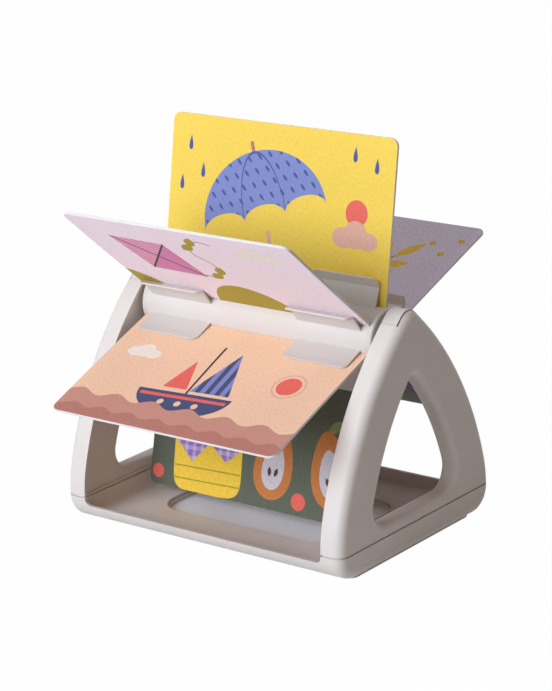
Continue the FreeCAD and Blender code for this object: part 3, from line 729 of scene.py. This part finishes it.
    def printed(self, picture: Picture) -> Material:
        """A face's material: fields of colour on paper, with a felt-like grain pressed into the board,
        painted shade in its hollows and painted highlight on its crests.

        Args:
            picture: what is printed.

        Returns:
            The material.
        """
        new = NewMaterial("print_" + picture.name)
        point = new.node("ShaderNodeUVMap", uv_map=PRINT_MAP).outputs[0]
        colour: object = picture.paper.value
        for mark in picture.marks:
            frame = {"Point": point, "Centre": (mark.x, mark.y, 0.0)}
            size, turn = (mark.wide, mark.tall, 1.0), math.radians(mark.turn)
            if mark.form is Form.WAVES:
                inside = new.group(self.waves, Size=size, **frame)
            else:
                power_x, power_y = mark.form.value
                inside = new.group(self.field, Turn=turn, Size=size, PowerX=power_x, PowerY=power_y,
                                   Taper=mark.taper, Low=mark.low, High=mark.high,
                                   Hollow=mark.hollow, **frame)
            ink: object = mark.ink.value
            if mark.fill is not Fill.PLAIN:
                share = new.group(self.fills[mark.fill], Turn=turn, Pitch=mark.pitch, **frame)
                ink = new.mixed(share, ink, mark.second.value)
            colour = new.mixed(inside, colour, ink)
        felt = new.noise(point, self.FELT)
        along = new.placed(point, (0.0, 0.0, 0.0), self.FIBRE_TURN, self.FIBRE_STRETCH)
        grain = new.math("ADD", *(new.math("MULTIPLY", part, 0.5)
                                  for part in (felt, new.noise(along, self.FIBRE))))
        # Painted shade in the grain's hollows and painted highlight on its crests, as darker and lighter
        # colour.
        contrast = self.painted_grain_shading * picture.relief_and_painted_shade
        light = new.math("ADD", new.math("MULTIPLY", grain, contrast), 1.0 - contrast / 2)
        new.set(Base_Color=new.scaled(colour, light), Roughness=self.MATT,
                Normal=new.bump(grain, self.grain_mm * picture.relief_and_painted_shade))
        return new.material


# By card number, and 1 for the face that looks forward while the card stands up, -1 for the other.
PICTURES = {
    (1, 1): Picture("umbrella", Ink.SUNNY, umbrella_picture()),
    (1, -1): Picture("rainbow", Ink.TAN, rainbow_picture()),
    (2, 1): Picture("kite", Ink.LILAC, kite_picture()),
    (2, -1): Picture("hills", Ink.SKY, hills_picture()),
    (3, -1): Picture("boat", Ink.PEACH, boat_picture()),
    (3, 1): Picture("toadstools", Ink.RUST, toadstool_picture()),
    # The picnic and sprig cards get deeper grain with stronger painted shade and highlight.
    (4, -1): Picture("picnic", Ink.FOREST, picnic_picture(), relief_and_painted_shade=2.0),
    (4, 1): Picture("orchard", Ink.PEACH, orchard_picture()),
    (5, -1): Picture("blanket", Ink.FOREST, blanket_picture()),
    (5, 1): Picture("night", Ink.NAVY, night_picture()),
    (6, 1): Picture("sprigs", Ink.HEATHER, sprig_picture(), relief_and_painted_shade=1.8),
    (6, -1): Picture("bunting", Ink.CREAM, bunting_picture()),
}


# ---- Cards ----
@dataclass(frozen=True)
class CardSeat:
    """Where one card lies, read from its solid: a frame along X, away from the drum, and off its face."""

    axis: Vector
    out: Vector
    face: Vector
    half_width: float
    near: float
    far: float
    half_thick: float

    @classmethod
    def of(cls, node: str, axis: Vector) -> CardSeat:
        """The seat of the card in a node, around a point on the drum's axis."""
        low, high = (Vector(corner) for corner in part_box(node))
        out = (low + high) / 2 - axis
        out.x = 0.0
        out.normalize()
        face = Vector((0.0, -out.z, out.y))
        points = [vertex.co - axis for vertex in bpy.data.objects[node].data.vertices]
        reach = [point.dot(out) for point in points]
        return cls(axis, out, face, max(abs(point.x) for point in points), min(reach), max(reach),
                   max(abs(point.dot(face)) for point in points))

    def place(self, x: float, reach: float, off: float) -> Vector:
        """A point of the card in the frame."""
        return self.axis + Vector((x, 0.0, 0.0)) + self.out * reach + self.face * off


@dataclass
class PictureCards:
    """The six boards, each printed on both faces and slightly warped beyond the drum's jaws."""

    corner_r: float = 6.0 * MM
    corner_steps: int = 7
    edge_r: float = 0.35 * MM
    edge_steps: int = 2
    print_reach: float = 0.7            # the print ends where a face's tilt has this cosine
    crease: float = math.radians(15)
    held_to: float = 42.0 * MM          # the jaws keep a card flat as far as this
    strips: int = 14
    warp_mm: tuple[float, ...] = (0.0, -0.9, 1.7, -3.1, 3.0, -0.6)      # at each card's outer edge

    def outline(self, seat: CardSeat) -> list[tuple[float, float]]:
        """Rounded outline as (x, distance from the axis), anticlockwise."""
        points = []
        corners = ((1, seat.near, -90), (1, seat.far, 0), (-1, seat.far, 90), (-1, seat.near, 180))
        for side, edge, start in corners:
            middle_x = side * (seat.half_width - self.corner_r)
            middle_y = edge + (self.corner_r if edge == seat.near else -self.corner_r)
            for step in range(self.corner_steps + 1):
                angle = math.radians(start + 90 * step / self.corner_steps)
                points.append((middle_x + self.corner_r * math.cos(angle),
                               middle_y + self.corner_r * math.sin(angle)))
        return points

    def board(self, seat: CardSeat) -> bmesh.types.BMesh:
        """A flat board with softened edges, cut into strips so that it can warp."""
        mesh = bmesh.new()
        ring = [mesh.verts.new((x, y, -seat.half_thick)) for x, y in self.outline(seat)]
        sheet = mesh.faces.new(ring)
        raised = bmesh.ops.extrude_face_region(mesh, geom=[sheet])
        lifted = [item for item in raised["geom"] if isinstance(item, bmesh.types.BMVert)]
        bmesh.ops.translate(mesh, verts=lifted, vec=(0.0, 0.0, 2 * seat.half_thick))
        bmesh.ops.recalc_face_normals(mesh, faces=mesh.faces)
        rims = [edge for edge in mesh.edges if abs(edge.verts[0].co.z - edge.verts[1].co.z) < self.edge_r]
        bmesh.ops.bevel(mesh, geom=rims, offset=self.edge_r, segments=self.edge_steps, profile=0.5,
                        affect="EDGES")
        for step in range(1, self.strips):
            cut = self.held_to + (seat.far - self.corner_r - self.held_to) * (step - 1) / (self.strips - 2)
            geometry = list(mesh.verts) + list(mesh.edges) + list(mesh.faces)
            bmesh.ops.bisect_plane(mesh, geom=geometry, plane_co=(0.0, cut, 0.0), plane_no=(0.0, 1.0, 0.0))
        return mesh

    def dress(self, mesh: bmesh.types.BMesh, seat: CardSeat) -> None:
        """Gives each face its material and its place in the picture.

        The picture that faces forward on an upright card has its top at the outer edge. The other one
        faces forward when the card hangs, so it has its top at the drum.

        Args:
            mesh: the flat board.
            seat: where it lies.
        """
        layer = mesh.loops.layers.uv.new(PRINT_MAP)
        middle = (seat.near + seat.far) / 2
        for face in mesh.faces:
            side = 1 if face.normal.z > 0 else -1
            printed = abs(face.normal.z) > self.print_reach
            face.material_index = (0 if side > 0 else 1) if printed else 2      # 2 is the cut edge
            face.smooth = True
            for loop in face.loops:
                loop[layer].uv = (loop.vert.co.x / MM, (loop.vert.co.y - middle) * side / MM)
        for edge in mesh.edges:
            edge.smooth = edge.calc_face_angle(0.0) < self.crease

    def build(self, number: int, axis: Vector, shop: PrintShop, edge: Material) -> Thing:
        """Builds one card and puts it in its slot.

        Args:
            number: the card's number, from 1.
            axis: a point on the drum's axis.
            shop: prints the faces.
            edge: finish of the cut edge.

        Returns:
            The card.
        """
        node, name = f"picture_card_{number}", f"printed_card_{number}"
        seat = CardSeat.of(node, axis)
        mesh = self.board(seat)
        self.dress(mesh, seat)
        warp = self.warp_mm[number - 1] * MM
        for vertex in mesh.verts:
            x, reach, off = vertex.co
            bent = max(0.0, (reach - self.held_to) / (seat.far - self.held_to))
            vertex.co = seat.place(x, reach, off + warp * bent ** 2)
        data = bpy.data.meshes.new(name)
        mesh.to_mesh(data)
        mesh.free()
        pictures = [PICTURES[number, side] for side in (1, -1)]
        for material in (*map(shop.printed, pictures), edge):
            data.materials.append(material)
        card = added(name, data)
        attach(card, "drum")
        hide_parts(node)
        LOG.info("%s: %s", name, " and ".join(picture.name for picture in pictures))
        return card


# ---- Screws ----
class ScrewTree(Wiring):
    """Geometry Nodes tree that stands a cross-head screw on every point, along the point's aim."""

    AIM = "aim"
    SIZES = ("Head Radius", "Head Height", "Shank Radius", "Length", "Cross Reach")
    CHAMFER = 0.3                # heights are shares of the head's
    OVERLAP = 0.05
    FACE = 0.86                  # radius of the head's face, as a share of the head's
    TIP = 0.72                   # radius of the tip, as a share of the shank's
    ARM = (2.0, 0.45)            # length and width of an arm of the cross, in reaches

    def __init__(self, sides: int = 32) -> None:
        """Builds the tree, with a number of sides for the round parts."""
        super().__init__(bpy.data.node_groups.new("Cross-head screws", "GeometryNodeTree"))
        self.sides = sides
        face = self.tree.interface
        face.new_socket("Places", in_out="INPUT", socket_type="NodeSocketGeometry")
        for name in self.SIZES:
            face.new_socket(name, in_out="INPUT", socket_type="NodeSocketFloat")
        face.new_socket("Finish", in_out="INPUT", socket_type="NodeSocketMaterial")
        face.new_socket("Screws", in_out="OUTPUT", socket_type="NodeSocketGeometry")
        self.given = self.node("NodeGroupInput").outputs
        self.feed(self.node("NodeGroupOutput").inputs[0], self.dressed(self.spread(self.screw())))

    def raised(self, solid: Socket, height: object) -> Socket:
        """A solid moved up."""
        move = self.combined(None, None, height)
        return self.result("GeometryNodeTransform", {"Geometry": solid, "Translation": move})

    def frustum(self, bottom: Socket, top: Socket, height: Socket, foot: object) -> Socket:
        """A closed round solid standing at a height.

        Args:
            bottom: radius at its foot.
            top: radius at its top.
            height: how tall it is.
            foot: where its foot is.

        Returns:
            The geometry's socket.
        """
        given = {"Vertices": self.sides, "Radius Bottom": bottom, "Radius Top": top, "Depth": height}
        return self.raised(self.result("GeometryNodeMeshCone", given), foot)

    def bar(self, along_x: object, along_y: object, height: object) -> Socket:
        """A block on the head's face, for one arm of the cross."""
        return self.result("GeometryNodeMeshCube", {"Size": self.combined(along_x, along_y, height)})

    def screw(self) -> Socket:
        """One screw: its head's face at the origin, its shank along +Z."""
        head_r, height, shank_r, length, reach = (self.given[name] for name in self.SIZES)
        chamfer = self.math("MULTIPLY", height, self.CHAMFER)
        head_top = self.math("SUBTRACT", height, self.math("MULTIPLY", height, self.OVERLAP))
        union = self.node("GeometryNodeMeshBoolean", operation="UNION", solver="EXACT")
        for solid in (
                self.frustum(self.math("MULTIPLY", head_r, self.FACE), head_r, chamfer, 0.0),
                self.frustum(head_r, head_r, self.math("SUBTRACT", height, chamfer), chamfer),
                self.frustum(shank_r, self.math("MULTIPLY", shank_r, self.TIP),
                             self.math("SUBTRACT", length, head_top), head_top)):
            self.feed(union.inputs[1], solid)
        cut = self.node("GeometryNodeMeshBoolean", operation="DIFFERENCE", solver="EXACT")
        self.feed(cut.inputs[0], union.outputs[0])
        arm = [self.math("MULTIPLY", reach, share) for share in self.ARM]
        for sizes in (arm, arm[::-1]):
            self.feed(cut.inputs[1], self.bar(*sizes, height))
        return cut.outputs[0]

    def spread(self, screw: Socket) -> Socket:
        """The screw on every point, turned along the point's aim."""
        aim = self.result("GeometryNodeInputNamedAttribute", {"Name": self.AIM}, data_type="FLOAT_VECTOR")
        turn = self.result("FunctionNodeAlignRotationToVector", {"Vector": aim}, axis="Z")
        copies = self.result("GeometryNodeInstanceOnPoints",
                             {"Points": self.given["Places"], "Instance": screw, "Rotation": turn})
        return self.result("GeometryNodeRealizeInstances", {0: copies})

    def dressed(self, screws: Socket) -> Socket:
        """The screws in their finish."""
        return self.result("GeometryNodeSetMaterial",
                           {"Geometry": screws, "Material": self.given["Finish"]})


@dataclass(frozen=True)
class ScrewSet:
    """The screws of one node, replaced by detailed ones at the places of its solids."""

    node: str
    body: str
    head_height: float = 2.0 * MM
    shank_r: float = 1.5 * MM
    cross_reach: float = 1.4 * MM
    joined_within: float = 0.01 * MM    # vertices of one solid that are this close are one

    def solids(self) -> list[tuple[Vector, Vector]]:
        """Lowest and highest corner of each separate solid in the node."""
        mesh = bmesh.new()
        mesh.from_mesh(bpy.data.objects[self.node].data)
        bmesh.ops.remove_doubles(mesh, verts=mesh.verts, dist=self.joined_within)
        left, corners = set(mesh.verts), []
        while left:
            queue = [left.pop()]
            solid = []
            while queue:
                vertex = queue.pop()
                solid.append(vertex.co.copy())
                near = {edge.other_vert(vertex) for edge in vertex.link_edges} & left
                left -= near
                queue += near
            corners.append((Vector(map(min, *solid)), Vector(map(max, *solid))))
        mesh.free()
        return sorted(corners, key=lambda pair: tuple(pair[0]))

    def places(self) -> tuple[bpy.types.Mesh, float, float]:
        """Points at the screws' heads, the radius of a head and the length of a screw."""
        heads, aims = [], []
        for low, high in self.solids():
            size, middle = high - low, (low + high) / 2
            along = max(range(3), key=lambda axis: size[axis])
            aim = Vector((0.0, 0.0, 0.0))
            aim[along] = 1.0 if along == 2 else -math.copysign(1.0, middle.x)
            heads.append(middle - aim * size[along] / 2)
            aims.append(aim)
        points = bpy.data.meshes.new(self.node + "_places")
        points.from_pydata(heads, [], [])
        attribute = points.attributes.new(ScrewTree.AIM, "FLOAT_VECTOR", "POINT")
        attribute.data.foreach_set("vector", [number for aim in aims for number in aim])
        return points, min(size) / 2, max(size)

    def build(self, tree: ScrewTree, finish: Material) -> Thing:
        """Replaces the node.

        Args:
            tree: makes the screws.
            finish: their material.

        Returns:
            The new piece.
        """
        points, head_r, length = self.places()
        seats = added(self.node + "_places", points)
        modifier = seats.modifiers.new("Screws", "NODES")
        modifier.node_group = tree.tree
        values = (head_r, self.head_height, self.shank_r, length, self.cross_reach)
        sizes = dict(zip(ScrewTree.SIZES, values))
        for item in tree.tree.interface.items_tree:
            if item.in_out == "INPUT" and item.name in sizes:
                modifier[item.identifier] = sizes[item.name]
            elif item.name == "Finish":
                modifier[item.identifier] = finish
        ready = seats.evaluated_get(bpy.context.evaluated_depsgraph_get())
        piece = added("detailed_" + self.node, bpy.data.meshes.new_from_object(ready))
        bpy.data.objects.remove(seats)
        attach(piece, self.body)
        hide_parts(self.node)
        LOG.info("%s: %d faces", piece.name, len(piece.data.polygons))
        return piece


# ---- Studio ----
@dataclass(frozen=True)
class Lamp:
    """One large soft light. Distance and size are metres, angles are degrees, power is watts."""

    name: str
    colour: tuple[float, float, float]
    power: float
    azimuth: float
    elevation: float
    size: float = 1.7
    distance: float = 2.6

    def build(self, target: Vector) -> Thing:
        """Makes the lamp and aims it at a point."""
        back = direction(self.azimuth, self.elevation)
        data = bpy.data.lights.new(self.name, "AREA")
        data.shape = "DISK"
        data.size = self.size
        data.energy = self.power
        data.color = self.colour
        light = added(self.name, data)
        light.location = target + back * self.distance
        light.rotation_euler = back.to_track_quat("Z", "Y").to_euler()
        return light


@dataclass(frozen=True)
class Studio:
    """White floor, dim warm surround, a key lamp low in front, a little to the left, and a lamp above."""

    floor_half: float = 12.0
    floor_glow: float = 0.985           # share of white in what the camera sees; the rest is shadow
    floor_gap: float = 0.2 * MM         # so that the floor doesn't touch the underside
    floor_colour: Colour = (0.74, 0.76, 0.77, 1.0)
    ambient: Colour = (0.185, 0.122, 0.091, 1.0)
    key: Lamp = Lamp("studio_key", (0.835, 0.903, 1.0), 67.0, azimuth=-13.0, elevation=21.5)
    top: Lamp = Lamp("studio_top", (0.76, 0.91, 0.98), 15.8, azimuth=180.0, elevation=78.0)

    @staticmethod
    def seen(new: Wiring) -> Socket:
        """1 for rays from the camera, in a reflection or through glass, otherwise 0."""
        path = new.node("ShaderNodeLightPath").outputs
        mirrored = new.math("MAXIMUM", path["Is Glossy Ray"], path["Is Transmission Ray"])
        return new.math("MAXIMUM", path["Is Camera Ray"], mirrored)

    def floor(self) -> Thing:
        """A white floor that keeps a faint shadow and can be looked through from below."""
        new = EmptyMaterial("studio_floor")
        matt = new.result("ShaderNodeBsdfDiffuse", {"Color": self.floor_colour})
        glow, clear = new.result("ShaderNodeEmission", {}), new.result("ShaderNodeBsdfTransparent", {})
        above = new.either(new.math("MULTIPLY", self.seen(new), self.floor_glow), matt, glow)
        below = new.node("ShaderNodeNewGeometry").outputs["Backfacing"]
        new.feed(new.surface, new.either(below, above, clear))
        sheet = bpy.data.meshes.new("studio_floor")
        half, level = self.floor_half, -self.floor_gap
        corners = [(x * half, y * half, level) for x, y in ((-1, -1), (1, -1), (1, 1), (-1, 1))]
        sheet.from_pydata(corners, [], [(0, 1, 2, 3)])
        sheet.materials.append(new.material)
        return added("studio_floor", sheet)

    def world(self) -> None:
        """Warm surround for the object, white for the camera."""
        world = bpy.data.worlds.new("studio_world")
        world.use_nodes = True
        bpy.context.scene.world = world
        new = Wiring(world.node_tree)
        new.tree.nodes.clear()
        colour = new.mixed(self.seen(new), self.ambient, WHITE)
        new.feed(new.node("ShaderNodeOutputWorld").inputs[0],
                 new.result("ShaderNodeBackground", {"Color": colour}))

    def build(self, target: Vector) -> None:
        """Sets up the floor, world, lamps and the plain view transform."""
        self.world()
        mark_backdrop(self.floor(), self.key.build(target), self.top.build(target))
        bpy.context.scene.view_settings.view_transform = "Standard"


@dataclass(frozen=True)
class Viewpoint:
    """The main camera: it looks at a point from a direction, slightly rolled. Angles are degrees."""

    target: Vector
    distance: float
    azimuth: float
    elevation: float
    roll: float
    lens: float
    sensor: float = 36.0

    def build(self) -> Thing:
        """Makes the camera and gives it to the scene."""
        roll = math.radians(self.roll)
        back = direction(self.azimuth, self.elevation)
        level = direction(self.azimuth + 90, 0.0)
        above = back.cross(level)
        right = level * math.cos(roll) + above * math.sin(roll)
        up = above * math.cos(roll) - level * math.sin(roll)
        data = bpy.data.cameras.new("main_camera")
        data.lens = self.lens
        data.sensor_width = self.sensor
        camera = added("main_camera", data)
        turn = Matrix((right, up, back)).transposed().to_4x4()
        camera.matrix_world = Matrix.Translation(self.target + back * self.distance) @ turn
        bpy.context.scene.camera = camera
        return camera


# ---- Whole toy ----
@dataclass
class TummyTimeBook:
    """Dresses the moulded parts and adds the cards and screws."""

    nodes: dict[str, Thing]
    axis: Vector

    def dress(self, names: list[str], slot: str, finish: Material) -> None:
        """Puts a finish on CAD nodes.

        Args:
            names: the nodes.
            slot: the record's material slot; not used.
            finish: the material.
        """
        for name in names:
            self.nodes[name].data.materials[0] = finish
            LOG.info("%s: %s", name, finish.name)

    def named(self, *starts: str) -> list[str]:
        """The nodes whose names start with one of these words."""
        return [name for name in sorted(self.nodes) if name.startswith(starts)]

    def build(self) -> None:
        """Builds everything."""
        for starts, slot, finish in (
                (("base_", "side_", "bearing_"), "body_plastic",
                 MouldedPlastic("greige_plastic", screen_colour(222, 215, 209))),
                (("drum_core", "drum_end", "drum_segment"), "drum_plastic",
                 # A little darker than the greige body plastic: painted shade that tones down the drum,
                 # which catches the key lamp more squarely.
                 MouldedPlastic("drum_plastic", screen_colour(213, 206, 201),
                                gloss=Noise(75.0, 4.0, 0.47, 0.58))),
                # Near white, lighter than the grey sheet: partly the sheet's own pale colour, partly
                # painted reflection of the bright surround.
                (("recess_",), "inlay_sheet", SmoothSheet("grey_inlay_with_painted_reflection", screen_colour(246, 249, 254)))):
            self.dress(self.named(*starts), slot, finish.material())
        shop, edge = PrintShop(), BoardEdge("board_edge", screen_colour(240, 238, 234)).material()
        cards = PictureCards()
        for number in range(1, len(cards.warp_mm) + 1):
            cards.build(number, self.axis, shop, edge)
        tree, zinc = ScrewTree(), ZincSteel("zinc_steel", screen_colour(205, 205, 208)).material()
        for screws in (ScrewSet("cover_screws", "stand"), ScrewSet("panel_screws", "stand"),
                       ScrewSet("drum_screws", "drum", head_height=1.5 * MM, shank_r=1.25 * MM)):
            screws.build(tree, zinc)


def main() -> None:
    """Builds the scene."""
    logging.basicConfig(level=logging.INFO, format="%(message)s")
    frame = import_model()
    cad_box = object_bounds()
    drum_spin = frame["joints"][0]
    TummyTimeBook(frame["nodes"], Vector(drum_spin["pos_m"])).build()
    Studio().build((cad_box[0] + cad_box[1]) / 2)
    Viewpoint(Vector((0.003465, 0.0, 0.124208)), distance=1.76286, azimuth=38.22, elevation=17.08,
              roll=-2.2996, lens=134.17).build()


if __name__ == "__main__":
    main()
